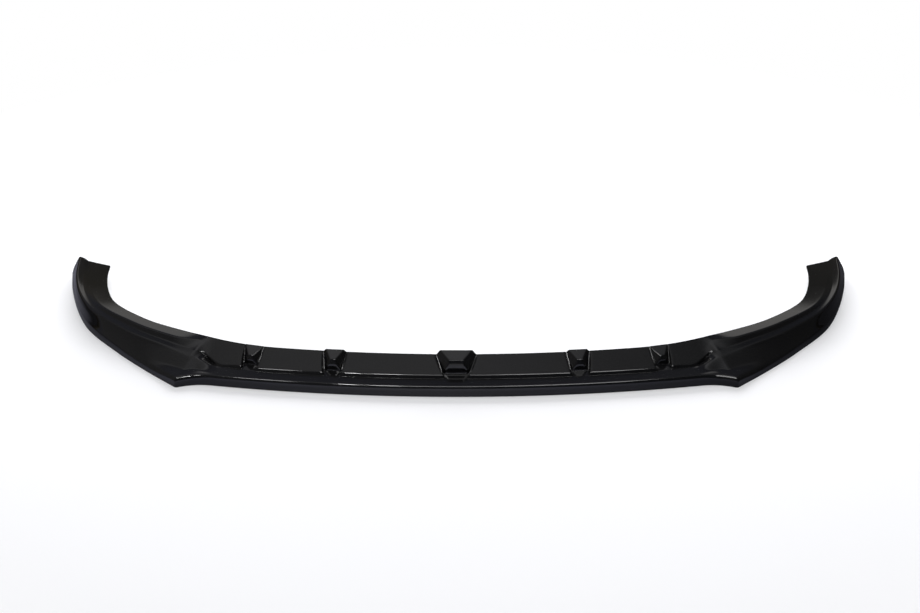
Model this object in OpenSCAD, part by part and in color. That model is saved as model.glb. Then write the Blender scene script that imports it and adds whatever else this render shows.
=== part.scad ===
// Front lip for a car bumper: one sheet of gloss black plastic, formed hot over a mould and trimmed.
// X runs along the lip, the front faces -Y, Z is up. The origin lies in the middle between front edge and
// tails, on the plane that the lip rests on. Plan sizes count y from the front edge at the lip's middle.
// The left half mirrors the right one.

/* [Sheet] */
// Thickness of the formed sheet
wall = 3.5; // [2.5:0.1:4.5]
// Height of the pads' rear edge and of the wings' flange
top_h = 50; // [47:0.5:54]

/* [Front blade] */
// Radius of the front edge, seen from above
front_r = 2850; // [2600:10:3300]
// Height of the blade's top edge
blade_h = 22; // [18:0.5:24]
// Setback of the blade's top edge over its foot
blade_lean = 0.5; // [0:0.1:2]
// Rounding of the blade's top edge
blade_edge_r = 4; // [2:0.5:6]
// Depth of the ledge behind the blade
ledge_d = 26; // [22:0.5:28]
// Rise of the ledge toward the pads
ledge_rise = 1.5; // [0.5:0.1:3]

/* [Prows] */
// Tip of the prow where blade and wing meet [x, y]
prow_tip = [537, 31]; // [20:1:560]
// Where the front edge starts to swing forward to the prow
prow_start = 470; // [440:5:500]
// Rounding of the prow, seen from above
prow_r = 4; // [1:0.5:8]
// Height of the blade at the prow
prow_h = 19.5; // [16:0.5:22]
// Distance of the crease behind the prow's blade from its foot
prow_crease_d = 32; // [26:0.5:38]
// Rear corner behind the prow [x, y]
rear_corner = [491, 139.5]; // [120:0.5:510]

/* [Pads] */
// Depth of the lip at its middle
mid_depth = 72.5; // [64:0.5:80]
// Radius of the rear edge behind the pads, seen from above
rear_r = 2500; // [2300:10:3200]
// Distance of the pads' lower edge from the front
pad_front = 29; // [28.5:0.5:34]
// Further setback of the outermost pads
pad_setback = 5; // [0:0.5:10]
// Slope of the pads, in degrees
pad_angle = 24.5; // [18:0.5:26]
// Rounding of the pads' lower edge
pad_edge_r = 4; // [2:0.5:6]
// Where the outermost pads start to run out toward the wings
pad_end = 500; // [480:5:510]

/* [Notches between the pads] */
// Places of the notches to either side of the middle one
notch_x = [239.5, 403]; // [200:0.5:420]
// Middle notch: width at its front and rear, and width of the bump in it at its front and rear
mid_notch = [49, 92, 31, 64]; // [20:0.5:100]
// Inner notches: the same four widths
inner_notch = [36, 53, 11, 36]; // [8:0.5:60]
// Outer notches: the same four widths
outer_notch = [32, 43.5, 9, 38]; // [8:0.5:60]
// Height of the bumps' rear edge over the pads': middle, inner, outer
bump_rise = [9, 4.2, 0.3]; // [0:0.1:12]
// Depth of the bumps' tops
bump_top_d = 21.5; // [16:0.5:24]
// Slope of the bumps' tops, in degrees
bump_angle = 17.5; // [8:0.5:24]
// Width of the slope at the pads' ends, between pad and pocket floor
notch_draft = 2.5; // [1.5:0.1:4]

/* [Wing plan] */
// Ribs of the wing from its front to its rear edge: foot x, foot y, rear x, rear y
shoulder_rib = [601, 85, 540, 160.5]; // [60:0.5:620]
// Rib at the middle of the wing's straight part
middle_rib = [676, 155, 626, 206.5]; // [140:0.5:700]
// Rib at the bend
bend_rib = [768, 260, 715, 292]; // [240:1:790]
// Rib behind the bend
outer_rib = [835, 410, 755, 416]; // [380:1:860]
// Rib at the tail
tail_rib = [854, 480, 766, 479]; // [440:1:880]
// Rounding of the tail's outer corner
tail_r = 3; // [1:0.5:8]
// Rounding of the tail's inner corner
tail_inner_r = 8; // [3:0.5:12]
// Lift of the tail's foot off the ground
tail_lift = 7; // [0:0.5:10]

/* [Wing sections: near the prow, on the straight part, behind the bend, at the tail] */
// Lengths along the foot from the prow to the first three sections
section_at = [84, 190, 400]; // [60:5:440]
// Lean of the upright strip along the foot
strip_lean = [2, 1, 1, 5]; // [0:0.5:8]
// Height of the strip
strip_h = [14, 13, 15, 20]; // [10:0.5:24]
// Distance of the crease over the strip from the foot
crease_run = [17, 9.5, 2, 8]; // [1:0.5:24]
// Height of the crease
crease_h = [22, 21.5, 19, 25]; // [18:0.5:28]
// Distance of the line below the ridge from the foot
flank_run = [42.5, 22, 5, 16]; // [4:0.5:50]
// Drop of that line under the top
flank_drop = [14, 14.5, 16, 12]; // [10:0.5:20]
// Distance of the ridge from the foot
ridge_run = [47.5, 26.5, 9, 23]; // [7:0.5:54]
// Drop of the ridge under the top
ridge_drop = [11, 9, 4.5, 2]; // [1:0.5:13]
// Distance of the valley behind the ridge from the foot
valley_run = [60.5, 39.5, 21, 36]; // [16:0.5:66]
// Drop of the valley under the top
valley_drop = [8, 7, 5, 7.5]; // [3:0.5:13]
// Width of the flange along the rear edge
flange_w = [27, 24.5, 36, 45]; // [18:0.5:50]
// Drop of the flange's front edge under the top
flange_drop = [0, 0, 2.5, 13.5]; // [0:0.5:22]
// Drop of the rear edge under the top
rear_drop = [0, 0, 3, 24]; // [0:0.5:32]

/* [Wing root at the prow] */
// Distance of the root's lower line and of its ridge from the front
root_run = [52, 59.5]; // [48:0.5:66]
// Drop of these two under the top
root_drop = [18, 14.5]; // [12:0.5:22]
// How fast the two come forward from the prow toward the middle, per length of the lip
root_run_slope = [0.5, 0.52]; // [0.2:0.01:0.6]
// How fast they drop
root_h_slope = [0.1, 0.13]; // [0.05:0.01:0.25]
// Distance of the outermost pad's tip from the front
pad_tip_d = 75; // [68:0.5:80]
// Drop of the pad's tip under the top
pad_tip_drop = 9.5; // [8:0.5:14]
// Height of the crease behind the prow
prow_crease_h = 22.5; // [21:0.5:25]
// Width of the flange where it starts
flange_start_w = 11; // [6:0.5:16]
// Drop of the flange's front edge where it starts
flange_start_drop = 1.8; // [1:0.1:4]

/* [Hidden] */

gloss_black = [0.03, 0.03, 0.035];

// Lines that run the length of the shell, counted from the front foot to the rear edge
FOOT = 0;
EDGE = 1;
CREASE = 2;
FLANK = 3;
RIDGE = 4;
VALLEY = 5;
BROW = 6;
NOSE_FOOT = 7;
NOSE = 8;
CREST = 9;
REAR = 10;
lines = [FOOT:REAR];

// Reach and number of points of the rounding along each line
edge_reach = [0, blade_edge_r, 3, 0, 2.5, 2, pad_edge_r, 0, 0, 3, 0];
edge_points = [1, 4, 3, 1, 3, 3, 4, 1, 1, 4, 1];
// Share of a side that a rounding may take
most_of_side = 0.45;

// Where the crease runs out on the ledge, and flank and ridge behind it, as shares of the ledge's depth
crease_share = 0.42;
ledge_share = [0.6, 0.8];
// Where brow, nose foot and nose lie on the wing's step, as shares of the way from valley to crest
step_share = [0.2, 0.42, 0.62];

// How far the bump's foot and its nose reach forward past its top edge
nose_reach = [5, 3.5];
// Where the bump's foot and nose lie, measured forward from the rear edge
nose_foot_d = bump_top_d + nose_reach[0];
nose_d = bump_top_d + nose_reach[1];
// How much wider the bump gets from its top edge down to its nose, foot and pocket floor
bump_flare = [1, 2.5, 1.5];
// Height of the bump's nose, as a share of the way from the floor to the top edge
nose_share = 0.57;
// Depth of the notches' ends under the rear edge
notch_end_drop = 0.5;
// Rounding across the notches, as reach and number of points: pads' ends, pocket floor, bumps' edges
pad_corner = [3, 3];
floor_corner = [2, 2];
bump_corner = [2, 3];
// Plain stretch kept beside each notch
notch_margin = 8;
// How far the underside shifts away from the notch's middle, in sheet thicknesses, at its front and rear
pad_shift = [0.7, 0.1];
floor_shift = [0.7, -0.5];
// How far it shifts toward the middle under the bump, and the half-width that it keeps there at least
bump_shift = 0.6;
hollow_share = 0.3;

// Share of the lip's length between the front edge's ends that the rear edge keeps
rib_fan = 0.975;
// Where the rear edge starts to swing back in y and in x
rear_turn = 350;
fan_turn = 380;
// Where the pads step back, where they run out into the wing, and where the flange runs in
pad_turn = [385, 430];
pad_run_out = [456, 538];
flange_run_in = [500, 560];
// Where the wing's ridge grows out of the ledge, and where the step's foot climbs onto it
ridge_run_in = [465, 508];
foot_climb = [490, 536];
// Where the tail's foot starts to lift
tail_lift_start = 860;
// Steps between the plain stations: to the inner and to the outer notch, to the prow, the shoulder, the tail
plain_steps = [2, 2, 10, 4, 17];
// Places of the last stations, as shares of the tail's inner rounding
tail_steps = [1, 0.45, 0.15, 0];

prow_x = prow_tip.x;
wing_ribs = [
    [prow_tip.x, prow_tip.y, rear_corner.x, rear_corner.y],
    shoulder_rib, middle_rib, bend_rib, outer_rib, tail_rib
];
// Length along the foot at each rib of the wing, with the prow at its own x
wing_s = [
    for (i = 0, s = prow_x; i < len(wing_ribs); s = s + foot_step(i), i = i + 1) s
];
tail_s = wing_s[len(wing_s) - 1];
section_s = [for (d = section_at) prow_x + d, tail_s];

// Distance along the foot from rib i to the next
function foot_step(i) =
    i + 1 < len(wing_ribs) ? norm([for (k = [0:1]) wing_ribs[i + 1][k] - wing_ribs[i][k]]) : 0;

// 0 before a, 1 after b, smooth between
function ramp(s, a, b) =
    let (u = min(max((s - a) / (b - a), 0), 1))
    u * u * (3 - 2 * u);

// 0 up to a, then growing with the square of the distance, 1 at b
function swerve(s, a, b) = pow(max(0, s - a) / (b - a), 2);

function mix(a, b, share) = a + (b - a) * share;

// Curve through knots [place, value] that never overshoots them
function step_slope(k, i) = (k[i + 1][1] - k[i][1]) / (k[i + 1][0] - k[i][0]);
function knot_slope(k, i) =
    let (before = step_slope(k, max(i - 1, 0)),
         after = step_slope(k, min(i, len(k) - 2)))
    before * after <= 0 ? 0 : 2 * before * after / (before + after);
function step_at(k, s, i = 0) =
    i >= len(k) - 2 || s < k[i + 1][0] ? i : step_at(k, s, i + 1);
function rail(k, s) =
    let (i = step_at(k, s),
         h = k[i + 1][0] - k[i][0],
         u = min(max((s - k[i][0]) / h, 0), 1))
    (1 + 2 * u) * pow(1 - u, 2) * k[i][1] + u * pow(1 - u, 2) * h * knot_slope(k, i)
    + u * u * (3 - 2 * u) * k[i + 1][1] + u * u * (u - 1) * h * knot_slope(k, i + 1);

// Knots of a line: the given ones up to the prow, then the four section values of the wing
function knots(first, values, sign = 1, base = 0) =
    concat(first, [for (i = [0:3]) [section_s[i], base + sign * values[i]]]);
function plan_knots(k) = [for (i = [0:len(wing_ribs) - 1]) [wing_s[i], wing_ribs[i][k]]];

foot_x_knots = plan_knots(0);
foot_y_knots = plan_knots(1);
rear_x_knots = plan_knots(2);
rear_y_knots = plan_knots(3);
lean_knots = knots([[0, blade_lean], [prow_start, blade_lean], [prow_x, strip_lean[0]]], strip_lean);
edge_h_knots = knots([[0, blade_h], [prow_start, blade_h], [prow_x, prow_h]], strip_h);
crease_run_knots = knots([[prow_x, prow_crease_d]], crease_run);
crease_h_knots = knots([[prow_x, prow_crease_h]], crease_h);
flank_run_knots = knots([[prow_x, root_run[0]]], flank_run);
flank_h_knots = knots([[prow_x, top_h - root_drop[0]]], flank_drop, -1, top_h);
ridge_run_knots = knots([[prow_x, root_run[1]]], ridge_run);
ridge_h_knots = knots([[prow_x, top_h - root_drop[1]]], ridge_drop, -1, top_h);
valley_run_knots = knots([[prow_x, pad_tip_d]], valley_run);
valley_h_knots = knots([[prow_x, top_h - pad_tip_drop]], valley_drop, -1, top_h);
flange_w_knots = knots([[pad_end, 0], [prow_x, flange_start_w]], flange_w);
flange_h_knots = knots([[prow_x, top_h - flange_start_drop]], flange_drop, -1, top_h);
rear_h_knots = knots([[0, top_h]], rear_drop, -1, top_h);

// Front edge and rear edge in plan at the distance s along the foot, for the right half
function front_y(x) =
    x * x / (2 * front_r) + (prow_tip.y - prow_x * prow_x / (2 * front_r)) * swerve(x, prow_start, prow_x);
function sharp_foot(s) =
    s <= prow_x ? [s, front_y(s)] : [rail(foot_x_knots, s), rail(foot_y_knots, s)];
function foot(s) =
    let (u = (s - prow_x + prow_r) / (2 * prow_r))
    u <= 0 || u >= 1
        ? sharp_foot(s)
        : pow(1 - u, 2) * sharp_foot(prow_x - prow_r) + 2 * u * (1 - u) * prow_tip
          + u * u * sharp_foot(prow_x + prow_r);
function rear_x(s) = rib_fan * s + (rear_corner.x - rib_fan * prow_x) * swerve(s, fan_turn, prow_x);
function rear_y(x) =
    let (corner_y = mid_depth + rear_corner.x * rear_corner.x / (2 * rear_r))
    mid_depth + x * x / (2 * rear_r) + (rear_corner.y - corner_y) * swerve(x, rear_turn, rear_corner.x);
function rear(s) =
    s <= prow_x
        ? [rear_x(s), rear_y(rear_x(s))]
        : [rail(rear_x_knots, s), rail(rear_y_knots, s)];
function depth(s) = norm(rear(abs(s)) - foot(abs(s)));

// Point on the lip from its place along the foot, its run back along the rib and its height
function place(p) =
    let (s = abs(p[0]), f = foot(s), q = f + (rear(s) - f) * p[1] / norm(rear(s) - f))
    [p[0] < 0 ? -q.x : q.x, q.y, p[2]];

// Height of the pads' plane
function pad_h(run, depth) = top_h - (depth - run) * tan(pad_angle);

// Point of the wing's root on its flank (0) or ridge (1), straight on toward the middle before the prow
function on_root(a, run_knots, h_knots, k) =
    let (before = min(a - prow_x, 0))
    [rail(run_knots, a) + before * root_run_slope[k], rail(h_knots, a) + before * root_h_slope[k]];

// Plain section of the lip at s: run and height of every line
function section(s) =
    let (a = abs(s),
         d = depth(a),
         lift = tail_lift * swerve(a, tail_lift_start, tail_s),
         to_wing = ramp(a, pad_end, pad_run_out[1]),
         to_valley = ramp(a, pad_run_out[0], pad_run_out[1]),
         to_ridge = ramp(a, ridge_run_in[0], ridge_run_in[1]),
         to_flange = ramp(a, flange_run_in[0], flange_run_in[1]),
         crest_r = mix(d - bump_top_d, d - rail(flange_w_knots, a), to_flange),
         crest = [crest_r, mix(pad_h(crest_r, d), rail(flange_h_knots, a), to_flange)],
         pad_r = pad_front + pad_setback * ramp(a, pad_turn[0], pad_turn[1]),
         wing_valley = [rail(valley_run_knots, a), rail(valley_h_knots, a)],
         wing_brow = mix(wing_valley, crest, step_share[0]),
         brow_r = mix(pad_r, wing_brow[0], to_valley),
         brow = [brow_r, mix(pad_h(brow_r, d), wing_brow[1], to_wing)],
         edge = [rail(lean_knots, a), rail(edge_h_knots, a)],
         ledge_rear = [mix(pad_r - pad_front + ledge_d, wing_valley[0], to_valley), edge[1] + ledge_rise],
         crease = mix(
             mix(edge, ledge_rear, crease_share * ledge_d / ledge_rear[0]),
             [rail(crease_run_knots, a), rail(crease_h_knots, a)],
             ramp(a, ridge_run_in[0], prow_x)
         ),
         flank = mix(
             mix(edge, ledge_rear, ledge_share[0]),
             on_root(a, flank_run_knots, flank_h_knots, 0),
             to_ridge
         ),
         ridge = mix(
             mix(edge, ledge_rear, ledge_share[1]),
             on_root(a, ridge_run_knots, ridge_h_knots, 1),
             to_ridge
         ),
         valley = [ledge_rear[0], mix(ledge_rear[1], wing_valley[1], ramp(a, foot_climb[0], foot_climb[1]))],
         nose_foot_r = mix(d - nose_foot_d, mix(wing_valley[0], crest_r, step_share[1]), to_wing),
         nose_r = mix(d - nose_d, mix(wing_valley[0], crest_r, step_share[2]), to_wing),
         slope = (crest[1] - brow[1]) / (crest[0] - brow[0]))
    [
        [0, lift],
        edge,
        crease,
        flank,
        ridge,
        valley,
        brow,
        [nose_foot_r, brow[1] + (nose_foot_r - brow[0]) * slope],
        [nose_r, brow[1] + (nose_r - brow[0]) * slope],
        crest,
        [d, rail(rear_h_knots, a)]
    ];

// How far line i lies along the notch's slope, from 0 at the pads' lower edge to 1 at the rear
function notch_share(x, i) =
    let (p = section(x))
    i <= BROW ? 0 : (p[i][0] - p[BROW][0]) / (p[REAR][0] - p[BROW][0]);
function pad_half(x, w, i) = mix(w[0], w[1], notch_share(x, i)) / 2;
function floor_half(x, w, i) =
    mix(w[0] / 2 - notch_draft, (w[1] + w[3]) / 4, notch_share(x, i));
function bump_half(w, i) =
    i < NOSE_FOOT ? w[2] / 2 + bump_flare[2]
    : i == NOSE_FOOT ? w[2] / 2 + bump_flare[1]
    : i == NOSE ? w[2] / 2 + bump_flare[0]
    : i == CREST ? w[2] / 2
    : w[3] / 2;

// Columns of a notch at x, each one point per line: the pad's end, the pocket's floor, the bump's edge
function pad_column(x, w, side) = [
    for (i = lines)
        let (s = x + side * pad_half(x, w, i), p = section(s)[i])
        [s, p[0], p[1]]
];
function floor_h(p, run) =
    let (d = p[REAR][0], start = d - nose_foot_d)
    run < start
        ? mix(p[VALLEY][1], p[VALLEY][1] + ledge_rise / 2, (run - p[VALLEY][0]) / (start - p[VALLEY][0]))
        : mix(p[VALLEY][1] + ledge_rise / 2, top_h - notch_end_drop, (run - start) / nose_foot_d);
function floor_column(x, w, side) = [
    for (i = lines)
        let (s = x + side * floor_half(x, w, i), p = section(s))
        [s, p[i][0], i <= VALLEY ? p[i][1] : floor_h(p, p[i][0])]
];
function bump_column(x, w, rise, side) = [
    for (i = lines)
        let (s = x + side * bump_half(w, i),
             p = section(s),
             rear_h = top_h + rise,
             crest_h = rear_h - bump_top_d * tan(bump_angle),
             foot_h = floor_h(p, p[REAR][0] - nose_foot_d))
        [s, p[i][0],
         i <= VALLEY ? p[i][1]
         : i <= NOSE_FOOT ? floor_h(p, p[i][0])
         : i == NOSE ? mix(foot_h, crest_h, nose_share)
         : i == CREST ? crest_h
         : rear_h]
];

// Point at most `reach` from one point toward another
function toward(from, to, reach) =
    let (d = norm(to - from))
    from + (to - from) * min(reach, most_of_side * d) / d;
// Rounded corner at b between a and c, as n points
function corner(a, b, c, reach, n) =
    n == 1
        ? [b]
        : let (p = toward(b, a, reach), q = toward(b, c, reach))
          [for (k = [0:n - 1]) let (u = k / (n - 1)) pow(1 - u, 2) * p + 2 * u * (1 - u) * b + u * u * q];
// The same corner for whole columns, with its reach and number of points
function round_column(a, b, c, rounding) =
    let (turned = [for (i = lines) corner(a[i], b[i], c[i], rounding[0], rounding[1])])
    [for (k = [0:rounding[1] - 1]) [for (i = lines) turned[i][k]]];

// A station is a column with the place of its underside on every line
function station(column, under_s) = [column, under_s];
function plain_station(s) =
    station([for (p = section(s)) [s, p[0], p[1]]], [for (i = lines) s]);
function shifted(columns, x, side, shares) = [
    for (c = columns)
        station(c, [for (i = lines) c[i][0] + side * wall * mix(shares[0], shares[1], notch_share(x, i))])
];
function hollow(columns, x, side) = [
    for (c = columns)
        station(c, [
            for (p = c)
                let (h = abs(p[0] - x))
                x + side * max(h - bump_shift * wall, hollow_share * h)
        ])
];

// Half of a notch from its bump outward, with a plain station beyond it
function notch_end(w) = w[1] / 2 + notch_margin;
function half_notch(x, w, rise, side) =
    let (bump = bump_column(x, w, rise, side),
         other = bump_column(x, w, rise, -side),
         low = floor_column(x, w, side),
         pad = pad_column(x, w, side),
         beyond = plain_station(x + side * notch_end(w)))
    concat(
        hollow(round_column(other, bump, low, bump_corner), x, side),
        shifted(round_column(bump, low, pad, floor_corner), x, side, floor_shift),
        shifted(round_column(low, pad, beyond[0], pad_corner), x, side, pad_shift),
        [beyond]
    );
function backward(list) = [for (i = [len(list) - 1:-1:0]) list[i]];
function notch(x, w, rise) = concat(backward(half_notch(x, w, rise, -1)), half_notch(x, w, rise, 1));

// Plain stations between two places, ends left out
function plain(a, b, n) = [for (i = [1:n - 1]) plain_station(mix(a, b, i / n))];

// Tail: the last sections draw in at both ends, so that the tail's corners are round
function corner_pull(r, back) = back >= r ? 0 : r - sqrt(r * r - pow(r - back, 2));
function tail_station(back) =
    let (base = plain_station(tail_s - back),
         front = corner_pull(tail_r, back),
         inner = corner_pull(tail_inner_r, back),
         d = depth(tail_s - back),
         fit = function (p) [p[0], front + p[1] * (d - front - inner) / d, p[2]])
    station([for (p = base[0]) fit(p)], base[1]);

right_half = concat(
    plain(notch_end(mid_notch), notch_x[0] - notch_end(inner_notch), plain_steps[0]),
    notch(notch_x[0], inner_notch, bump_rise[1]),
    plain(notch_x[0] + notch_end(inner_notch), notch_x[1] - notch_end(outer_notch), plain_steps[1]),
    notch(notch_x[1], outer_notch, bump_rise[2]),
    plain(notch_x[1] + notch_end(outer_notch), prow_x - prow_r, plain_steps[2]),
    [for (i = [-1:1]) plain_station(prow_x + i * prow_r)],
    plain(prow_x + prow_r, section_s[0], plain_steps[3]),
    [plain_station(section_s[0])],
    plain(section_s[0], tail_s - tail_inner_r, plain_steps[4]),
    [for (share = tail_steps) tail_station(tail_inner_r * share)]
);
function mirrored_point(p) = [-p[0], p[1], p[2]];
function mirrored(st) = [[for (p = st[0]) mirrored_point(p)], -1 * st[1]];
left_half = backward([for (st = right_half) mirrored(st)]);
stations = concat(left_half, notch(0, mid_notch, bump_rise[0]), right_half);

// Point under line i of a station, one sheet thickness inside the section
function run_step(c, i) = let (d = [c[i + 1][1] - c[i][1], c[i + 1][2] - c[i][2]]) d / norm(d);
function inward(d) = [d[1], -d[0]];
function under_point(st, i) =
    let (c = st[0], s = st[1][i])
    i == FOOT ? [s, c[FOOT][1] + wall, c[FOOT][2]]
    : i == REAR ? [s, c[REAR][1], c[REAR][2] - wall / run_step(c, CREST)[0]]
    : let (n1 = inward(run_step(c, i - 1)), n2 = inward(run_step(c, i)), n = (n1 + n2) / (1 + n1 * n2))
      [s, c[i][1] + wall * n[0], c[i][2] + wall * n[1]];

// Closed outline of the sheet at a station: rounded upper side from front to rear, then the underside
function outline(st) =
    let (c = st[0])
    concat(
        [
            for (i = lines)
                each corner(c[max(i - 1, 0)], c[i], c[min(i + 1, REAR)], edge_reach[i], edge_points[i])
        ],
        [for (i = [REAR:-1:FOOT]) if (i != FLANK) under_point(st, i)]
    );

// End face of the sheet, as triangles between the upper side's points and those under their lines
line_of_point = [for (i = lines) for (k = [1:edge_points[i]]) i];
upper_n = len(line_of_point);
function under_index(i) = upper_n + REAR - (i == FLANK ? RIDGE : i) - (i < FLANK ? 1 : 0);
end_face = [
    for (k = [0:upper_n - 2])
        let (a = under_index(line_of_point[k]), b = under_index(line_of_point[k + 1]))
        each a == b ? [[k, k + 1, b]] : [[k, k + 1, b], [k, b, a]]
];

module lip_shell() {
    rings = [for (st = stations) [for (p = outline(st)) place(p)]];
    n = len(rings[0]);
    last = len(rings) - 1;
    color(gloss_black)
        translate([0, -tail_rib.y / 2, 0])
            polyhedron(
                points = [for (ring = rings) each ring],
                faces = concat(
                    [for (f = end_face) backward(f)],
                    [
                        for (j = [0:last - 1])
                            for (i = [0:n - 1])
                                let (a = j * n + i, b = j * n + (i + 1) % n)
                                each [[a, b, a + n], [b, b + n, a + n]]
                    ],
                    [for (f = end_face) [for (i = f) last * n + i]]
                ),
                convexity = 12
            );
}

lip_shell();
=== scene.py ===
from math import ceil, pi, radians, tan

import bpy
import numpy as np
from mathutils import Matrix


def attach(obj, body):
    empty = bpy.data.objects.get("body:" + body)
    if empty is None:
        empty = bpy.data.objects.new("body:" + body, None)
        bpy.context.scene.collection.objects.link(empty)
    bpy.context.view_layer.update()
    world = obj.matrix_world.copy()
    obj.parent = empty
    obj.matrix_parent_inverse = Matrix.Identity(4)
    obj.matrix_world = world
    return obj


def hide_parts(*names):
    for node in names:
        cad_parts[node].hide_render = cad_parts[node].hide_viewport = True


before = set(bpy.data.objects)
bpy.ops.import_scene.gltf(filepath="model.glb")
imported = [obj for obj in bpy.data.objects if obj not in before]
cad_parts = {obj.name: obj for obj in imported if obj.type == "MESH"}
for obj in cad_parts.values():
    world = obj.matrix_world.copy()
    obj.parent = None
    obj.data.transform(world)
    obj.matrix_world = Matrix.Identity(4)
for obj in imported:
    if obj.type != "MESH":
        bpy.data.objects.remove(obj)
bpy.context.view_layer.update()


# ---- Lip shell: plan and sections ----
# One sheet of black plastic, formed hot over a mould. The mould's shape is drawn as ribs: each rib crosses
# the lip from its front foot to its rear edge, and eleven lines run along the lip through all ribs.
# s counts along the front foot from the middle; sizes here are in millimetres.
MM = 0.001
FOOT, EDGE, CREASE, FLANK, RIDGE, VALLEY, BROW, NOSE_FOOT, NOSE, CREST, REAR = LINES = range(11)

SHEET = 3.5
TOP_H = 50
FRONT_R, REAR_R = 2850, 2500
MID_DEPTH = 72.5
BLADE_H, BLADE_LEAN = 22, 0.5
LEDGE_D, LEDGE_RISE = 26, 1.5
PROW_TIP, PROW_START, PROW_R, PROW_H = (537, 31), 470, 4, 19.5
PROW_CREASE_D, PROW_CREASE_H = 32, 22.5
REAR_CORNER, REAR_TURN, FAN_TURN, RIB_FAN = (491, 139.5), 350, 380, 0.975
PAD_FRONT, PAD_SETBACK, PAD_ANGLE = 29, 5, 24.5
PAD_TURN, PAD_RUN_OUT, PAD_END, FLANGE_RUN_IN = (385, 430), (456, 538), 500, (500, 560)
PAD_TIP_D, PAD_TIP_DROP = 75, 9.5
ROOT_RUN, ROOT_DROP = (52, 59.5), (18, 14.5)
ROOT_RUN_SLOPE, ROOT_H_SLOPE = (0.5, 0.52), (0.1, 0.13)
RIDGE_RUN_IN, FOOT_CLIMB = (465, 508), (490, 536)
CREASE_SHARE, LEDGE_SHARE, STEP_SHARE = 0.42, (0.6, 0.8), (0.2, 0.42, 0.62)
FLANGE_START_W, FLANGE_START_DROP = 11, 1.8
TAIL_LIFT, TAIL_LIFT_START, TAIL_R, TAIL_INNER_R = 7, 860, 3, 8
# Ribs of the wing: foot x, foot y, rear x, rear y
WING_RIBS = np.array(
    [
        (*PROW_TIP, *REAR_CORNER),
        (601, 85, 540, 160.5),
        (676, 155, 626, 206.5),
        (768, 260, 715, 292),
        (835, 410, 755, 416),
        (853.7, 480, 766, 479),
    ],
    float,
)
WING_S = PROW_TIP[0] + np.concatenate([[0], np.cumsum(np.hypot(*np.diff(WING_RIBS[:, :2], axis=0).T))])
TAIL_S = WING_S[-1]
SECTION_S = [PROW_TIP[0] + 84, PROW_TIP[0] + 190, PROW_TIP[0] + 400, TAIL_S]


def rail(knots, s):
    """Value at s of the smooth curve through knots (place, value), which never overshoots them."""
    k = np.array(knots, float)
    slope = np.diff(k[:, 1]) / np.diff(k[:, 0])
    before, after = slope[:-1], slope[1:]
    turning = before * after > 0
    mean = 2 * before * after / np.where(turning, before + after, 1)
    m = np.concatenate([slope[:1], np.where(turning, mean, 0), slope[-1:]])
    i = np.clip(np.searchsorted(k[:, 0], s, side="right") - 1, 0, len(k) - 2)
    h = k[i + 1, 0] - k[i, 0]
    u = np.clip((s - k[i, 0]) / h, 0, 1)
    start = (1 + 2 * u) * (1 - u) ** 2 * k[i, 1] + u * (1 - u) ** 2 * h * m[i]
    return start + u * u * (3 - 2 * u) * k[i + 1, 1] + u * u * (u - 1) * h * m[i + 1]


def wing(first, *values, drop=False):
    """Knots of a line: the given ones up to the prow, then its values at the wing's four sections."""
    return list(first) + [(s, TOP_H - v if drop else v) for s, v in zip(SECTION_S, values)]


PROW_S = PROW_TIP[0]
LEAN = wing([(0, BLADE_LEAN), (PROW_START, BLADE_LEAN), (PROW_S, 2)], 2, 1, 1, 5)
EDGE_H = wing([(0, BLADE_H), (PROW_START, BLADE_H), (PROW_S, PROW_H)], 14, 13, 15, 20)
CREASE_RUN = wing([(PROW_S, PROW_CREASE_D)], 17, 9.5, 2, 8)
CREASE_H = wing([(PROW_S, PROW_CREASE_H)], 22, 21.5, 19, 25)
FLANK_RUN = wing([(PROW_S, ROOT_RUN[0])], 42.5, 22, 5, 16)
FLANK_H = wing([(PROW_S, TOP_H - ROOT_DROP[0])], 14, 14.5, 16, 12, drop=True)
RIDGE_RUN = wing([(PROW_S, ROOT_RUN[1])], 47.5, 26.5, 9, 23)
RIDGE_H = wing([(PROW_S, TOP_H - ROOT_DROP[1])], 11, 9, 4.5, 2, drop=True)
VALLEY_RUN = wing([(PROW_S, PAD_TIP_D)], 60.5, 39.5, 21, 36)
VALLEY_H = wing([(PROW_S, TOP_H - PAD_TIP_DROP)], 8, 7, 5, 7.5, drop=True)
FLANGE_W = wing([(PAD_END, 0), (PROW_S, FLANGE_START_W)], 27, 24.5, 36, 45)
FLANGE_H = wing([(PROW_S, TOP_H - FLANGE_START_DROP)], 0, 0, 2.5, 13.5, drop=True)
REAR_H = wing([(0, TOP_H)], 0, 0, 3, 24, drop=True)


def ramp(s, start, end):
    u = np.clip((s - start) / (end - start), 0, 1)
    return u * u * (3 - 2 * u)


def swerve(s, start, end):
    return (np.maximum(0, s - start) / (end - start)) ** 2


def mix(a, b, share):
    return a + (b - a) * share


def front_y(x):
    at_prow = PROW_S**2 / (2 * FRONT_R)
    return x * x / (2 * FRONT_R) + (PROW_TIP[1] - at_prow) * swerve(x, PROW_START, PROW_S)


def rear_edge(s):
    x = RIB_FAN * s + (REAR_CORNER[0] - RIB_FAN * PROW_S) * swerve(s, FAN_TURN, PROW_S)
    at_corner = MID_DEPTH + REAR_CORNER[0] ** 2 / (2 * REAR_R)
    y = MID_DEPTH + x * x / (2 * REAR_R) + (REAR_CORNER[1] - at_corner) * swerve(x, REAR_TURN, REAR_CORNER[0])
    on_wing = s > PROW_S
    x = np.where(on_wing, rail(np.stack([WING_S, WING_RIBS[:, 2]], 1), s), x)
    return np.stack([x, np.where(on_wing, rail(np.stack([WING_S, WING_RIBS[:, 3]], 1), s), y)], -1)


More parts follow.
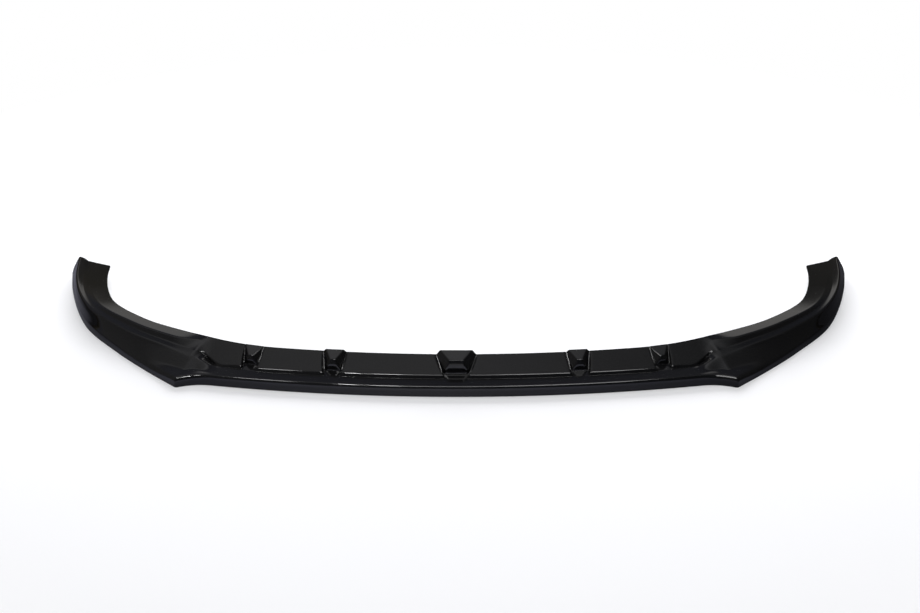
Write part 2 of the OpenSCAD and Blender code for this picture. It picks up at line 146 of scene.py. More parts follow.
def sharp_foot(s):
    on_wing = s > PROW_S
    x = np.where(on_wing, rail(np.stack([WING_S, WING_RIBS[:, 0]], 1), s), s)
    return np.stack([x, np.where(on_wing, rail(np.stack([WING_S, WING_RIBS[:, 1]], 1), s), front_y(s))], -1)


def front_foot(s):
    u = np.clip((s - PROW_S + PROW_R) / (2 * PROW_R), 0, 1)[..., None]
    before, after = sharp_foot(np.float64(PROW_S - PROW_R)), sharp_foot(np.float64(PROW_S + PROW_R))
    turn = (1 - u) ** 2 * before + 2 * u * (1 - u) * np.array(PROW_TIP, float) + u * u * after
    return np.where((u > 0) & (u < 1), turn, sharp_foot(s))


def place(points):
    """Points (s, run back along the rib, height) on the lip, in millimetres, with the lip's front at y 0."""
    s = np.abs(points[..., 0])
    f = front_foot(s)
    along = rear_edge(s) - f
    q = f + along * (points[..., 1] / np.linalg.norm(along, axis=-1))[..., None]
    return np.stack([np.where(points[..., 0] < 0, -q[..., 0], q[..., 0]), q[..., 1], points[..., 2]], -1)


def depth(s):
    return np.linalg.norm(rear_edge(s) - front_foot(s), axis=-1)


def pad_h(run, d):
    return TOP_H - (d - run) * tan(radians(PAD_ANGLE))


# The bumps' tops are this deep, and their feet and noses lie this far before the rear edge
BUMP_TOP_D = 24.5
NOSE_FOOT_D, NOSE_D = BUMP_TOP_D + 5, BUMP_TOP_D + 3.5


def section(s):
    """Run and height of the eleven lines on the plain lip at s."""
    s = np.abs(np.asarray(s, float))
    d = depth(s)

    def knots_at(run, height):
        return np.stack([rail(run, s), rail(height, s)], -1)

    def along(a, b, share):
        return mix(a, b, np.asarray(share)[..., None])

    to_wing, to_flange = ramp(s, PAD_END, PAD_RUN_OUT[1]), ramp(s, *FLANGE_RUN_IN)
    to_valley, to_ridge = ramp(s, *PAD_RUN_OUT), ramp(s, *RIDGE_RUN_IN)
    crest_run = mix(d - BUMP_TOP_D, d - rail(FLANGE_W, s), to_flange)
    crest = np.stack([crest_run, mix(pad_h(crest_run, d), rail(FLANGE_H, s), to_flange)], -1)
    pad_run = PAD_FRONT + PAD_SETBACK * ramp(s, *PAD_TURN)
    wing_valley = knots_at(VALLEY_RUN, VALLEY_H)
    wing_brow = along(wing_valley, crest, STEP_SHARE[0])
    brow_run = mix(pad_run, wing_brow[..., 0], to_valley)
    brow = np.stack([brow_run, mix(pad_h(brow_run, d), wing_brow[..., 1], to_wing)], -1)
    edge = knots_at(LEAN, EDGE_H)
    rear_run = mix(pad_run - PAD_FRONT + LEDGE_D, wing_valley[..., 0], to_valley)
    ledge_rear = np.stack([rear_run, edge[..., 1] + LEDGE_RISE], -1)
    before = np.minimum(s - PROW_S, 0)
    flank_root, ridge_root = (
        knots_at(run, height) + np.stack([before * ROOT_RUN_SLOPE[k], before * ROOT_H_SLOPE[k]], -1)
        for k, run, height in ((0, FLANK_RUN, FLANK_H), (1, RIDGE_RUN, RIDGE_H))
    )
    crease_on_ledge = along(edge, ledge_rear, CREASE_SHARE * LEDGE_D / rear_run)
    crease = along(crease_on_ledge, knots_at(CREASE_RUN, CREASE_H), ramp(s, RIDGE_RUN_IN[0], PROW_S))
    flank = along(mix(edge, ledge_rear, LEDGE_SHARE[0]), flank_root, to_ridge)
    ridge = along(mix(edge, ledge_rear, LEDGE_SHARE[1]), ridge_root, to_ridge)
    valley = np.stack([rear_run, mix(ledge_rear[..., 1], wing_valley[..., 1], ramp(s, *FOOT_CLIMB))], -1)
    slope = (crest[..., 1] - brow[..., 1]) / (crest[..., 0] - brow[..., 0])
    nose_foot_run = mix(d - NOSE_FOOT_D, mix(wing_valley[..., 0], crest_run, STEP_SHARE[1]), to_wing)
    nose_run = mix(d - NOSE_D, mix(wing_valley[..., 0], crest_run, STEP_SHARE[2]), to_wing)
    on_slope = [np.stack([r, brow[..., 1] + (r - brow_run) * slope], -1) for r in (nose_foot_run, nose_run)]
    foot = np.stack([0 * s, TAIL_LIFT * swerve(s, TAIL_LIFT_START, TAIL_S)], -1)
    rear = np.stack([d, rail(REAR_H, s)], -1)
    return np.stack([foot, edge, crease, flank, ridge, valley, brow, *on_slope, crest, rear], -2)


# ---- Lip shell: notches and bumps ----
# The pads stop at five notches. In each, the ledge runs back as a pocket floor, and a bump rises from it
# that is narrow in front and wide at the rear edge, where it stiffens the sheet.
# Place, notch width front and rear, bump width front and rear, bump's height over the pads at the rear, and how
# far the bump's nose leans outward
NOTCHES = [(0, 49, 92, 28, 64, 9, 0), (239.5, 36, 53, 10.5, 36, 4.2, 1), (403, 32, 43.5, 9, 38, 0.3, 2)]
BUMP_ANGLE, BUMP_FLARE, NOSE_SHARE = 17.5, (1, 2.5, 1.5), 0.57
NOTCH_DRAFT, NOTCH_END_DROP = 2.5, 0.5
PAD_CORNER, FLOOR_CORNER, BUMP_CORNER = (3.0, 7), (2.0, 5), (2.0, 7)
PAD_SHIFT, FLOOR_SHIFT, BUMP_SHIFT, HOLLOW_SHARE = (0.7, 0.1), (0.7, -0.5), 0.6, 0.3
STATION_STEP = 7.0


def notch_share(x):
    """How far each line lies along a notch's slope, from 0 at the pads' lower edge to 1 at the rear."""
    run = section(x)[:, 0]
    return np.clip((run - run[BROW]) / (run[REAR] - run[BROW]), 0, 1)


def own_sections(s):
    """Run and height of each line at its own place."""
    return section(s)[LINES, LINES]


def floor_h(full, run):
    """Height of the pocket floor: level from the ledge back, then up to the rear edge."""
    foot_run, foot_h, start = full[:, VALLEY, 0], full[:, VALLEY, 1], full[:, REAR, 0] - NOSE_FOOT_D
    level = foot_h + LEDGE_RISE / 2 * np.clip((run - foot_run) / (start - foot_run), 0, 1)
    climb = np.clip((run - start) / NOSE_FOOT_D, 0, 1)
    return mix(level, TOP_H - NOTCH_END_DROP, climb)


def pad_column(n, side):
    s = n[0] + side * mix(n[1], n[2], notch_share(n[0])) / 2
    return np.column_stack([s, own_sections(s)])


def floor_column(n, side):
    s = n[0] + side * mix(n[1] / 2 - NOTCH_DRAFT, (n[2] + n[4]) / 4, notch_share(n[0]))
    own = own_sections(s)
    low = floor_h(section(s), own[:, 0])
    return np.column_stack([s, own[:, 0], np.where(np.array(LINES) <= VALLEY, own[:, 1], low)])


def bump_axis(n):
    """Where the bump's middle lies on each line."""
    return n[0] + n[6] * (np.array(LINES) < REAR)


def bump_column(n, side):
    half = np.full(len(LINES), n[3] / 2 + BUMP_FLARE[2])
    half[NOSE_FOOT], half[NOSE], half[CREST], half[REAR] = (
        n[3] / 2 + BUMP_FLARE[1],
        n[3] / 2 + BUMP_FLARE[0],
        n[3] / 2,
        n[4] / 2,
    )
    s = bump_axis(n) + side * half
    own = own_sections(s)
    h = np.where(np.array(LINES) <= VALLEY, own[:, 1], floor_h(section(s), own[:, 0]))
    h[REAR] = TOP_H + n[5]
    h[CREST] = h[REAR] - BUMP_TOP_D * tan(radians(BUMP_ANGLE))
    h[NOSE] = mix(h[NOSE_FOOT], h[CREST], NOSE_SHARE)
    return np.column_stack([s, own[:, 0], h])


def corner(a, b, c, reach, n, share=(0.45, 0.45)):
    """n points of a round corner at b between a and c, reaching at most that share of each side."""
    to_a, to_c = a - b, c - b
    len_a, len_c = (np.maximum(np.linalg.norm(v, axis=-1, keepdims=True), 1e-9) for v in (to_a, to_c))
    p = b + to_a / len_a * np.minimum(reach, share[0] * len_a)
    q = b + to_c / len_c * np.minimum(reach, share[1] * len_c)
    w = np.sqrt(np.clip((1 - (to_a * to_c).sum(-1, keepdims=True) / (len_a * len_c)) / 2, 0.05, 1))
    points = []
    for u in np.linspace(0, 1, n):
        total = (1 - u) ** 2 + 2 * u * (1 - u) * w + u * u
        points.append(((1 - u) ** 2 * p + 2 * u * (1 - u) * w * b + u * u * q) / total)
    return points


def between(a, b, n):
    """n columns or stations between two, ends left out."""
    return [tuple(mix(p, q, k / (n + 1)) for p, q in zip(a, b)) for k in range(1, n + 1)]


def plain_station(s):
    along_foot = np.full(len(LINES), float(s))
    return np.column_stack([along_foot, section(s)]), along_foot


def half_notch(n, side):
    """Stations of half a notch, from its bump outward: each a column and the place of its underside."""
    bump, other, low, pad = bump_column(n, side), bump_column(n, -side), floor_column(n, side), pad_column(n, side)
    beyond = plain_station(n[0] + side * (n[2] / 2 + 8))
    share = notch_share(n[0])

    def shifted(columns, shift):
        return [(c, c[:, 0] + side * SHEET * mix(shift[0], shift[1], share)) for c in columns]

    bump_turn = []
    for c in corner(other, bump, low, *BUMP_CORNER):
        half = np.abs(c[:, 0] - bump_axis(n))
        bump_turn.append((c, bump_axis(n) + side * np.maximum(half - BUMP_SHIFT * SHEET, HOLLOW_SHARE * half)))
    floor_turn = shifted(corner(bump, low, pad, *FLOOR_CORNER), FLOOR_SHIFT)
    pad_turn = shifted(corner(low, pad, beyond[0], *PAD_CORNER), PAD_SHIFT)
    return (
        bump_turn
        + between(bump_turn[-1], floor_turn[0], 3)
        + floor_turn
        + between(floor_turn[-1], pad_turn[0], 2)
        + pad_turn
        + between(pad_turn[-1], beyond, 2)
        + [beyond]
    )


def notch(n):
    right, left = half_notch(n, 1), half_notch(n, -1)
    return left[::-1] + between(left[0], right[0], 5) + right


def plain(start, end):
    count = ceil((end - start) / STATION_STEP)
    return [plain_station(mix(start, end, k / count)) for k in range(1, count)]


def tail_station(back):
    """Last ribs: they draw in at both ends, so that the tail's corners are round."""
    column, under = plain_station(TAIL_S - back)
    front, inner = (r - (r * r - max(r - back, 0) ** 2) ** 0.5 for r in (TAIL_R, TAIL_INNER_R))
    d = column[REAR, 1]
    column[:, 1] = front + column[:, 1] * (d - front - inner) / d
    return column, under


ends = [n[0] - n[2] / 2 - 8 for n in NOTCHES] + [PROW_S - 2 * PROW_R]
starts = [n[0] + n[2] / 2 + 8 for n in NOTCHES]
right_half = (
    plain(starts[0], ends[1])
    + notch(NOTCHES[1])
    + plain(starts[1], ends[2])
    + notch(NOTCHES[2])
    + plain(starts[2], ends[3])
    + [plain_station(PROW_S + k * PROW_R / 3) for k in range(-6, 7)]
    + plain(PROW_S + 2 * PROW_R, TAIL_S - TAIL_INNER_R)
    + [tail_station(TAIL_INNER_R * k) for k in (1, 0.75, 0.5, 0.3, 0.15, 0.05, 0)]
)
left_half = [(c * (-1, 1, 1), -u) for c, u in right_half[::-1]]
stations = left_half + notch(NOTCHES[0]) + right_half
columns = np.array([c for c, _ in stations])
under_s = np.array([u for _, u in stations])


# ---- Lip shell: skin and sheet ----
# The heated sheet bends round every line of the mould in a soft radius. Its upper side is the skin that is
# laid through all ribs here; Geometry Nodes then give it the sheet's thickness, a trimmed rim and a dull
# underside, as the real one has.
# Per line: reach of the bend, its points, the shares of its two sides it may take; then points up to the next.
# The valley under the pads and the bumps' upper edges are tight, and both turn soft on the wing.
ON_WING = ramp(np.abs(columns[:, VALLEY, :1]), 530, 640)
VALLEY_BEND, CREST_BEND = mix(0.3, 6.0, ON_WING), mix(1.2, 3.5, ON_WING)
BENDS = [
    (0.0, 1, (0, 0), 4),
    (8.5, 12, (0.8, 0.42), 5),
    (3.0, 6, (0.45, 0.8), 2),
    (2.5, 4, (0.15, 0.45), 1),
    (3.5, 7, (0.45, 0.45), 3),
    (VALLEY_BEND, 6, (0.45, 0.45), 1),
    (1.8, 7, (0.5, 0.45), 4),
    (0.3, 3, (0.1, 0.45), 1),
    (3.0, 3, (0.45, 0.2), 1),
    (CREST_BEND, 8, (0.6, 0.45), 5),
    (0.0, 1, (0, 0), 0),
]
INNER_BEND = 0.15


def inward(a, b):
    """Direction in the section that points from the skin into the sheet between two lines."""
    d = (b - a)[:, 1:]
    d = d / np.linalg.norm(d, axis=-1, keepdims=True)
    return np.stack([d[:, 1], -d[:, 0]], -1)


def underside(columns, under_s):
    """Each line's point one sheet thickness under the skin."""
    under = columns.copy()
    under[:, :, 0] = under_s
    under[:, FOOT, 1] += SHEET
    for i in range(1, REAR):
        n1, n2 = inward(columns[:, i - 1], columns[:, i]), inward(columns[:, i], columns[:, i + 1])
        under[:, i, 1:] += SHEET * (n1 + n2) / (1 + (n1 * n2).sum(-1, keepdims=True))
    under[:, REAR, 2] += SHEET / inward(columns[:, CREST], columns[:, REAR])[:, 1]
    return under


under = underside(columns, under_s)
skin_points, under_points = [], []
for i, (reach, count, share, fill) in enumerate(BENDS):
    a, b, c = columns[:, max(i - 1, 0)], columns[:, i], columns[:, min(i + 1, REAR)]
    turn = [b] if count == 1 else corner(a, b, c, reach, count, share)
    for p in turn:
        skin_points.append(p)
        under_points.append(under[:, i] + INNER_BEND * (p - b))
    if fill:
        after = columns[:, min(i + 2, REAR)]
        next_turn = [c] if BENDS[i + 1][1] == 1 else corner(b, c, after, *BENDS[i + 1][:3])
        next_under = under[:, i + 1] + INNER_BEND * (next_turn[0] - c)
        for k in range(1, fill + 1):
            u = k / (fill + 1)
            skin_points.append(mix(turn[-1], next_turn[0], u))
            under_points.append(mix(under[:, i] + INNER_BEND * (turn[-1] - b), next_under, u))
to_middle = np.array([0, -WING_RIBS[-1, 1] / 2, 0])
skin_at = (place(np.stack(skin_points, 1)) + to_middle) * MM
under_at = (place(np.stack(under_points, 1)) + to_middle) * MM

rows, across = skin_at.shape[:2]
index = np.arange(rows * across).reshape(rows, across)
quads = np.stack([index[:-1, :-1], index[1:, :-1], index[1:, 1:], index[:-1, 1:]], -1).reshape(-1, 4)
skin_mesh = bpy.data.meshes.new("lip_skin")
skin_mesh.from_pydata(skin_at.reshape(-1, 3).tolist(), [], quads.tolist())
into_sheet = skin_mesh.attributes.new("into_sheet", "FLOAT_VECTOR", "POINT")
into_sheet.data.foreach_set("vector", ((under_at - skin_at) / (SHEET * MM)).reshape(-1))
skin = bpy.data.objects.new("lip_skin", skin_mesh)
bpy.context.collection.objects.link(skin)


def shader_nodes(name):
    """A new node material and a function that adds a node with its settings."""
    material = bpy.data.materials.new(name)
    material.use_nodes = True
    tree = material.node_tree
    tree.nodes.clear()

    def add(kind, **settings):
        node = tree.nodes.new(kind)
        for key, value in settings.items():
            if hasattr(node, key):
                setattr(node, key, value)
            else:
                node.inputs[key.replace("_", " ")].default_value = value
        return node

    return material, tree, add


def plastic_surface():
    """Node group shared by the three finishes: tone, roughness and fine relief of handled black plastic."""
    group = bpy.data.node_groups.new("plastic_surface", "ShaderNodeTree")
    for name, low in (
        ("Smear scale", 0.0),
        ("Least roughness", 0.0),
        ("Most roughness", 0.0),
        ("Grain scale", 0.0),
        ("Grain height", 0.0),
        ("Dust", 0.0),
    ):
        group.interface.new_socket(name, in_out="INPUT", socket_type="NodeSocketFloat").min_value = low
    for name in ("Tone", "Dust tone"):
        group.interface.new_socket(name, in_out="INPUT", socket_type="NodeSocketColor")
    group.interface.new_socket("Colour", in_out="OUTPUT", socket_type="NodeSocketColor")
    group.interface.new_socket("Roughness", in_out="OUTPUT", socket_type="NodeSocketFloat")
    group.interface.new_socket("Normal", in_out="OUTPUT", socket_type="NodeSocketVector")
    add, link = group.nodes.new, group.links.new
    given, made, where = add("NodeGroupInput"), add("NodeGroupOutput"), add("ShaderNodeTexCoord")
    smear, speck, wave, grain = (add("ShaderNodeTexNoise") for _ in range(4))
    for node in (smear, speck, wave, grain):
        link(where.outputs["Object"], node.inputs["Vector"])
    link(given.outputs["Smear scale"], smear.inputs["Scale"])
    link(given.outputs["Grain scale"], grain.inputs["Scale"])
    smear.inputs["Detail"].default_value, smear.inputs["Roughness"].default_value = 5, 0.6
    speck.inputs["Scale"].default_value, wave.inputs["Scale"].default_value = 900, 11
    wave.inputs["Detail"].default_value = 1
    rough = add("ShaderNodeMapRange")
    rough.inputs["From Min"].default_value, rough.inputs["From Max"].default_value = 0.35, 0.75
    link(smear.outputs["Fac"], rough.inputs["Value"])
    link(given.outputs["Least roughness"], rough.inputs["To Min"])
    link(given.outputs["Most roughness"], rough.inputs["To Max"])
    link(rough.outputs["Result"], made.inputs["Roughness"])
    dust = add("ShaderNodeMapRange")
    dust.inputs["From Min"].default_value, dust.inputs["From Max"].default_value = 0.66, 0.78
    link(speck.outputs["Fac"], dust.inputs["Value"])
    link(given.outputs["Dust"], dust.inputs["To Max"])
    tone = add("ShaderNodeMix")
    tone.data_type = "RGBA"
    link(dust.outputs["Result"], tone.inputs["Factor"])
    link(given.outputs["Tone"], tone.inputs["A"])
    link(given.outputs["Dust tone"], tone.inputs["B"])
    link(tone.outputs["Result"], made.inputs["Colour"])
    wavy, fine = add("ShaderNodeBump"), add("ShaderNodeBump")
    wavy.inputs["Strength"].default_value, wavy.inputs["Distance"].default_value = 0.25, 0.0008
    fine.inputs["Distance"].default_value = 0.0004
    link(given.outputs["Grain height"], fine.inputs["Strength"])
    link(wave.outputs["Fac"], wavy.inputs["Height"])
    link(grain.outputs["Fac"], fine.inputs["Height"])
    link(wavy.outputs["Normal"], fine.inputs["Normal"])
    link(fine.outputs["Normal"], made.inputs["Normal"])
    return group


SURFACE = plastic_surface()


def black_plastic(name, ior, **surface):
    """A finish of the black sheet from the shared surface group."""
    material, tree, add = shader_nodes(name)
    link = tree.links.new
    out, bsdf = add("ShaderNodeOutputMaterial"), add("ShaderNodeBsdfPrincipled", IOR=ior)
    look = add("ShaderNodeGroup", node_tree=SURFACE)
    for key, value in surface.items():
        look.inputs[key.replace("_", " ")].default_value = value
    link(look.outputs["Colour"], bsdf.inputs["Base Color"])
    link(look.outputs["Roughness"], bsdf.inputs["Roughness"])
    link(look.outputs["Normal"], bsdf.inputs["Normal"])
    link(bsdf.outputs["BSDF"], out.inputs["Surface"])
    return material


def formed_sheet_tree():
    """Geometry Nodes: the skin, its underside one sheet thickness below it, and the trimmed rim between."""
    tree = bpy.data.node_groups.new("formed_sheet", "GeometryNodeTree")
    new_socket = tree.interface.new_socket
    new_socket("Skin", in_out="INPUT", socket_type="NodeSocketGeometry")
    thickness = new_socket("Sheet thickness", in_out="INPUT", socket_type="NodeSocketFloat")
    sharp = new_socket("Rim angle", in_out="INPUT", socket_type="NodeSocketFloat")
    finishes = [
        new_socket(name, in_out="INPUT", socket_type="NodeSocketMaterial")
        for name in ("Skin finish", "Rim finish", "Underside finish")
    ]
    new_socket("Sheet", in_out="OUTPUT", socket_type="NodeSocketGeometry")
    add, link = tree.nodes.new, tree.links.new
    given, made = add("NodeGroupInput"), add("NodeGroupOutput")
    direction = add("GeometryNodeInputNamedAttribute")
    direction.data_type = "FLOAT_VECTOR"
    direction.inputs["Name"].default_value = "into_sheet"
    offset = add("ShaderNodeVectorMath")
    offset.operation = "SCALE"
    link(direction.outputs["Attribute"], offset.inputs[0])
    link(given.outputs["Sheet thickness"], offset.inputs["Scale"])
    pull = add("GeometryNodeExtrudeMesh")
    pull.mode = "FACES"
    pull.inputs["Individual"].default_value = False
    link(given.outputs["Skin"], pull.inputs["Mesh"])
    link(offset.outputs["Vector"], pull.inputs["Offset"])
    flip = add("GeometryNodeFlipFaces")
    below, rim, above = (add("GeometryNodeSetMaterial") for _ in range(3))
    link(pull.outputs["Mesh"], flip.inputs["Mesh"])
    link(flip.outputs["Mesh"], below.inputs["Geometry"])
    link(given.outputs["Underside finish"], below.inputs["Material"])
    link(below.outputs["Geometry"], rim.inputs["Geometry"])
    link(pull.outputs["Side"], rim.inputs["Selection"])
    link(given.outputs["Rim finish"], rim.inputs["Material"])
    link(given.outputs["Skin"], above.inputs["Geometry"])
    link(given.outputs["Skin finish"], above.inputs["Material"])
    join, weld = add("GeometryNodeJoinGeometry"), add("GeometryNodeMergeByDistance")
    link(rim.outputs["Geometry"], join.inputs["Geometry"])
    link(above.outputs["Geometry"], join.inputs["Geometry"])
    weld.inputs["Distance"].default_value = 0.00002
    link(join.outputs["Geometry"], weld.inputs["Geometry"])
    angle = add("GeometryNodeInputMeshEdgeAngle")
    is_sharp = add("FunctionNodeCompare")
    is_sharp.data_type, is_sharp.operation = "FLOAT", "GREATER_THAN"
    link(angle.outputs["Unsigned Angle"], is_sharp.inputs["A"])
    link(given.outputs["Rim angle"], is_sharp.inputs["B"])
    smooth, crisp = add("GeometryNodeSetShadeSmooth"), add("GeometryNodeSetShadeSmooth")
    crisp.domain = "EDGE"
    crisp.inputs["Shade Smooth"].default_value = False
    link(weld.outputs["Geometry"], smooth.inputs["Geometry"])
    link(smooth.outputs["Geometry"], crisp.inputs["Geometry"])
    link(is_sharp.outputs["Result"], crisp.inputs["Selection"])
    single = add("GeometryNodeRealizeInstances")
    link(crisp.outputs["Geometry"], single.inputs["Geometry"])
    link(single.outputs["Geometry"], made.inputs["Sheet"])
    return tree, thickness.identifier, sharp.identifier, [f.identifier for f in finishes]


tree, thickness_id, sharp_id, finish_ids = formed_sheet_tree()
forming = skin.modifiers.new("formed_sheet", "NODES")
forming.node_group = tree
forming[thickness_id] = SHEET * MM
forming[sharp_id] = radians(50)
finishes = [
    black_plastic(
        "gloss_black_sheet",
        1.42,
        Smear_scale=7,
        Least_roughness=0.05,
        Most_roughness=0.11,
        Grain_scale=420,
        Grain_height=0.03,
        Dust=0.5,
        Tone=(0.0062, 0.0062, 0.0066, 1),
        Dust_tone=(0.02, 0.019, 0.017, 1),
    ),
    black_plastic(
        "trimmed_rim",
        1.5,
        Smear_scale=60,
        Least_roughness=0.42,
        Most_roughness=0.6,
        Grain_scale=700,
        Grain_height=0.5,
        Dust=0.9,
        Tone=(0.014, 0.014, 0.015, 1),
        Dust_tone=(0.05, 0.05, 0.048, 1),
    ),
    black_plastic(
        "dull_underside",
        1.5,
        Smear_scale=14,
        Least_roughness=0.34,
        Most_roughness=0.5,
        Grain_scale=480,
        Grain_height=0.3,
        Dust=0.8,
        Tone=(0.013, 0.013, 0.014, 1),
        Dust_tone=(0.035, 0.035, 0.035, 1),
    ),
]
for socket, finish in zip(finish_ids, finishes):
    forming[socket] = finish
evaluated = skin.evaluated_get(bpy.context.evaluated_depsgraph_get())
lip = bpy.data.objects.new("lip_sheet", bpy.data.meshes.new_from_object(evaluated))
bpy.context.collection.objects.link(lip)
bpy.data.objects.remove(skin)
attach(lip, "root")
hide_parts("lip_shell")


# ---- Studio ----
# White paper on the floor, in a room whose walls are dark. Two low windows stand behind the lip, the ceiling
# over it is pale, and softboxes hang in front of it.
floor_mesh = bpy.data.meshes.new("studio_floor")
half = 30.0
floor_mesh.from_pydata([(-half, -half, 0), (half, -half, 0), (half, half, 0), (-half, half, 0)], [], [(0, 1, 2, 3)])
floor = bpy.data.objects.new("studio_floor", floor_mesh)
bpy.context.collection.objects.link(floor)
paper, tree, add = shader_nodes("white_paper")
link = tree.links.new
seen, place_on_paper = add("ShaderNodeLightPath"), add("ShaderNodeTexCoord")


def maths(operation, *values):
    """A math node on values or sockets of the material or world that is being made."""
    node = add("ShaderNodeMath", operation=operation)
    for socket, value in zip(node.inputs, values):
        if isinstance(value, bpy.types.NodeSocket):
            link(value, socket)
        else:
            socket.default_value = value
    return node.outputs[0]


def graded(value, *stops):
    """A colour ramp on a value, from stops (position, colour)."""
    node = add("ShaderNodeValToRGB")
    link(value, node.inputs["Fac"])
    elements = node.color_ramp.elements
    elements[0].position, elements[0].color = stops[0][0], (*stops[0][1], 1)
    elements[1].position, elements[1].color = stops[-1][0], (*stops[-1][1], 1)
    for position, colour in stops[1:-1]:
        elements.new(position).color = (*colour, 1)
    return node.outputs["Color"]


def blended(kind, a, b, share=1.0):
    """A colour mix node on values or sockets."""
    node = add("ShaderNodeMix", data_type="RGBA", blend_type=kind)
    for socket, value in (("Factor", share), ("A", a), ("B", b)):
        if isinstance(value, bpy.types.NodeSocket):
            link(value, node.inputs[socket])
        else:
            node.inputs[socket].default_value = value
    return node.outputs["Result"]


# A painted pool of light and shade on the paper: in reflections and in the light it throws back, its colour goes
# from pale blue-white in the middle to near black at the sides. The camera sees the paper without this pool.
on_paper = add("ShaderNodeSeparateXYZ")
link(place_on_paper.outputs["Object"], on_paper.inputs[0])
from_middle = maths("ABSOLUTE", maths("ADD", on_paper.outputs["X"], 0.08))
painted_light_pool = graded(
    from_middle,
    (0.05, (0.85, 0.86, 1)),
    (0.3, (0.62, 0.64, 0.82)),
    (0.55, (0.4, 0.41, 0.52)),
    (0.75, (0.16, 0.16, 0.2)),
    (0.88, (0.03, 0.03, 0.035)),
)
painted_pool_in_reflections = blended("MULTIPLY", painted_light_pool, blended("MIX", (0, 0, 0, 1), (1, 1, 1, 1), seen.outputs["Is Glossy Ray"]))
either = maths("MAXIMUM", maths("MAXIMUM", seen.outputs["Is Camera Ray"], seen.outputs["Is Transmission Ray"]), painted_pool_in_reflections)
from_lip = add("ShaderNodeVectorMath", operation="LENGTH")
link(place_on_paper.outputs["Object"], from_lip.inputs[0])
own_glow = graded(maths("MULTIPLY", from_lip.outputs["Value"], 0.5), (0.48, (0.34, 0.34, 0.34)), (0.9, (1, 1, 1)))
share = maths("MULTIPLY", either, own_glow)
# The paper's tone, with the painted pool of light for every ray except the camera's
paper_tone_and_painted_pool = blended("MULTIPLY", blended("MIX", painted_light_pool, (1, 1, 1, 1), seen.outputs["Is Camera Ray"]), (0.88, 0.885, 0.91, 1))
matte = add("ShaderNodeBsdfDiffuse")
link(paper_tone_and_painted_pool, matte.inputs["Color"])
glow = add("ShaderNodeEmission", Color=(1, 1, 1, 1))
blend = add("ShaderNodeMixShader")
link(share, blend.inputs[0])
link(matte.outputs[0], blend.inputs[1])
link(glow.outputs[0], blend.inputs[2])
link(blend.outputs[0], add("ShaderNodeOutputMaterial").inputs["Surface"])
floor_mesh.materials.append(paper)

world = bpy.data.worlds.new("studio")
bpy.context.scene.world = world
world.use_nodes = True
tree = world.node_tree
tree.nodes.clear()
link = tree.links.new


def add(kind, **settings):
    """A node of the world with its settings."""
    node = tree.nodes.new(kind)
    for key, value in settings.items():
        setattr(node, key, value)
    return node


# Directions in the room: the arch runs from the wall behind over the ceiling to the wall in front, 0 to 1
split = add("ShaderNodeSeparateXYZ")
link(add("ShaderNodeTexCoord").outputs["Generated"], split.inputs[0])
arch = maths("DIVIDE", maths("ARCTAN2", split.outputs["Z"], split.outputs["Y"]), pi)
across_room = maths("MULTIPLY_ADD", split.outputs["X"], 0.5, 0.5)
walls = graded(
    across_room,
    (0.1, (0.22, 0.215, 0.215)),
    (0.35, (0.16, 0.16, 0.17)),
    (0.5, (0.11, 0.11, 0.125)),
    (0.65, (0.075, 0.08, 0.09)),
    (0.8, (0.065, 0.065, 0.065)),
)
low_walls = graded(
    arch,
    (0.05, (0.2, 0.17, 0.09)),
    (0.13, (0.42, 0.37, 0.22)),
    (0.165, (0.86, 0.78, 0.62)),
    (0.19, (0.8, 0.8, 0.85)),
    (0.23, (0.76, 0.8, 1)),
    (0.3, (0.85, 0.87, 1)),
    (0.34, (1, 1, 1)),
)
ceiling = graded(
    arch,
    (0.31, (0, 0, 0)),
    (0.345, (0.78, 0.78, 0.8)),
    (0.38, (0.76, 0.76, 0.77)),
    (0.41, (0.52, 0.52, 0.52)),
    (0.46, (0.5, 0.5, 0.5)),
    (0.53, (0.58, 0.58, 0.6)),
    (0.58, (0.17, 0.17, 0.18)),
    (0.7, (0, 0, 0)),
)
ceiling_width = graded(
    across_room,
    (0.15, (0, 0, 0)),
    (0.28, (0.45, 0.45, 0.45)),
    (0.38, (0.85, 0.85, 0.85)),
    (0.5, (1, 1, 1)),
    (0.6, (0.52, 0.52, 0.52)),
    (0.72, (0.18, 0.18, 0.18)),
    (0.82, (0, 0, 0)),
)
window_arch = graded(
    arch, (0.152, (0, 0, 0)), (0.159, (1, 1, 1)), (0.188, (1, 1, 1)), (0.2, (0.4, 0.4, 0.4)), (0.208, (0, 0, 0))
)
window_width = graded(
    across_room,
    (0.34, (0, 0, 0)),
    (0.36, (0.8, 0.79, 0.77)),
    (0.415, (0.8, 0.79, 0.77)),
    (0.435, (0, 0, 0)),
    (0.53, (0, 0, 0)),
    (0.55, (0.95, 0.93, 0.9)),
    (0.64, (0.95, 0.93, 0.9)),
    (0.66, (0, 0, 0)),
)
windows = blended("MULTIPLY", window_arch, window_width)
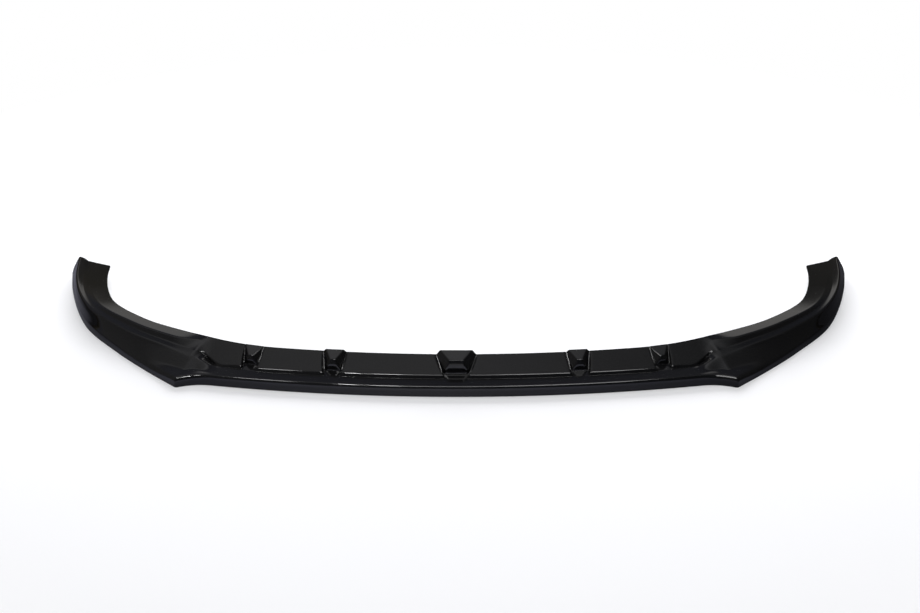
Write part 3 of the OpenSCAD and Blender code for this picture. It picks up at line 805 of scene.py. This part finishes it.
lit = blended("ADD", blended("MULTIPLY", walls, low_walls), blended("MULTIPLY", ceiling, ceiling_width))
background = add("ShaderNodeBackground")
link(blended("ADD", lit, windows), background.inputs["Color"])
link(background.outputs[0], add("ShaderNodeOutputWorld").inputs["Surface"])


def softbox(name, start, end, angle, depth, power):
    """A lamp from start to end across the room, at that angle on the arch over the lip's front edge."""
    light = bpy.data.lights.new(name, "AREA")
    light.shape, light.size, light.size_y, light.energy = "RECTANGLE", end - start, depth, power
    lamp = bpy.data.objects.new(name, light)
    bpy.context.collection.objects.link(lamp)
    lamp.matrix_world = (
        Matrix.Translation(((start + end) / 2, -0.24, 0.02))
        @ Matrix.Rotation(radians(angle - 90), 4, "X")
        @ Matrix.Translation((0, 0, 2.2))
    )
    return lamp


# The softboxes' own light falls on the lip as thin lines only; the lamps behind and above give the
# shadow in front
for name, start, end, angle, power in (
    ("left_softbox", -1.27, -0.93, 112, 9),
    ("small_softbox", -0.67, -0.565, 117, 9),
    ("second_softbox", -0.5, -0.33, 119, 8),
    ("long_softbox", -0.33, 1.0, 121, 18),
    ("right_softbox", 0.22, 1.06, 106, 10),
):
    softbox(name, start, end, angle, 0.4, power).visible_diffuse = False
back, top = softbox("back_lamp", -2, 2, 27, 2.8, 290), softbox("top_lamp", -2, 2, 82, 1.4, 30)
back.visible_glossy = top.visible_glossy = False
back.location = (0, 3.2, 1.6)


# ---- Camera ----
# Set by fitting the lip's outline to the photograph: 30 degrees down, a little to the side, 50 mm lens.
camera = bpy.data.cameras.new("photo_camera")
camera.lens, camera.sensor_width, camera.sensor_fit = 50, 36, "HORIZONTAL"
camera.clip_start, camera.clip_end = 0.05, 60
photographer = bpy.data.objects.new("photo_camera", camera)
bpy.context.collection.objects.link(photographer)
photographer.matrix_world = (
    Matrix.Translation((0.022, -2.2441, 1.3544))
    @ Matrix.Rotation(radians(0.4), 4, "Z")
    @ Matrix.Rotation(radians(60), 4, "X")
    @ Matrix.Rotation(radians(-0.2), 4, "Z")
)
bpy.context.scene.camera = photographer
bpy.context.scene.view_settings.view_transform = "Standard"
